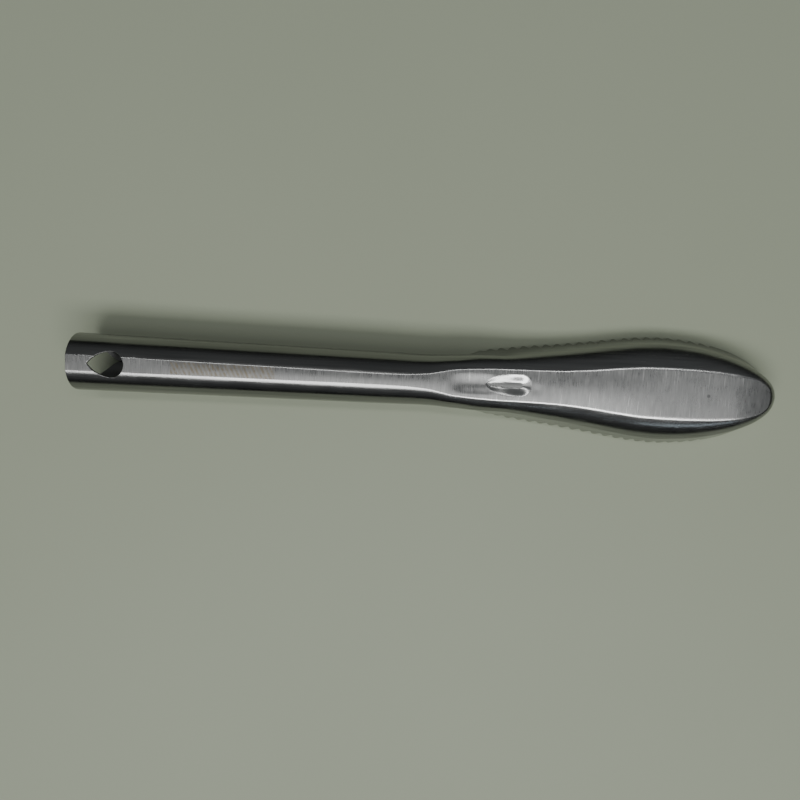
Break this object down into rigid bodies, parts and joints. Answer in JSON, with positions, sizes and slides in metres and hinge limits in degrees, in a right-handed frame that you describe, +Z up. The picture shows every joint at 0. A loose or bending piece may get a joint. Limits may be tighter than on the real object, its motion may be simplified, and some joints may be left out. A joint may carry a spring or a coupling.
{
  "type": "hand fish scaler",
  "caption": "Pressed stainless steel hand scaler with a rolled tube handle, hanging hole and a domed head with toothed edges.",
  "frame": {"origin": "on the resting surface, below the middle of the tool's overall box", "axes": "+X from the hanging end to the toe, +Y across the tool to its left side, +Z up out of the flat top"},
  "size_m": [0.198, 0.0312, 0.0157],
  "materials": {
    "handle_steel": "rolled tube, lengthwise satin grain",
    "crown_steel": "flat top, brushed across its width",
    "skirt_steel": "bright drawn sheet, smooth with faint lengthwise grain"
  },
  "bodies": {
    "root": {"hanging_end": "handle_steel", "handle_tube": "handle_steel", "neck": "handle_steel", "thumb_rest": "crown_steel", "head_crown": "crown_steel", "left_toothed_skirt": "skirt_steel", "right_toothed_skirt": "skirt_steel", "toe_cap": "skirt_steel"}
  },
  "joints": []
}
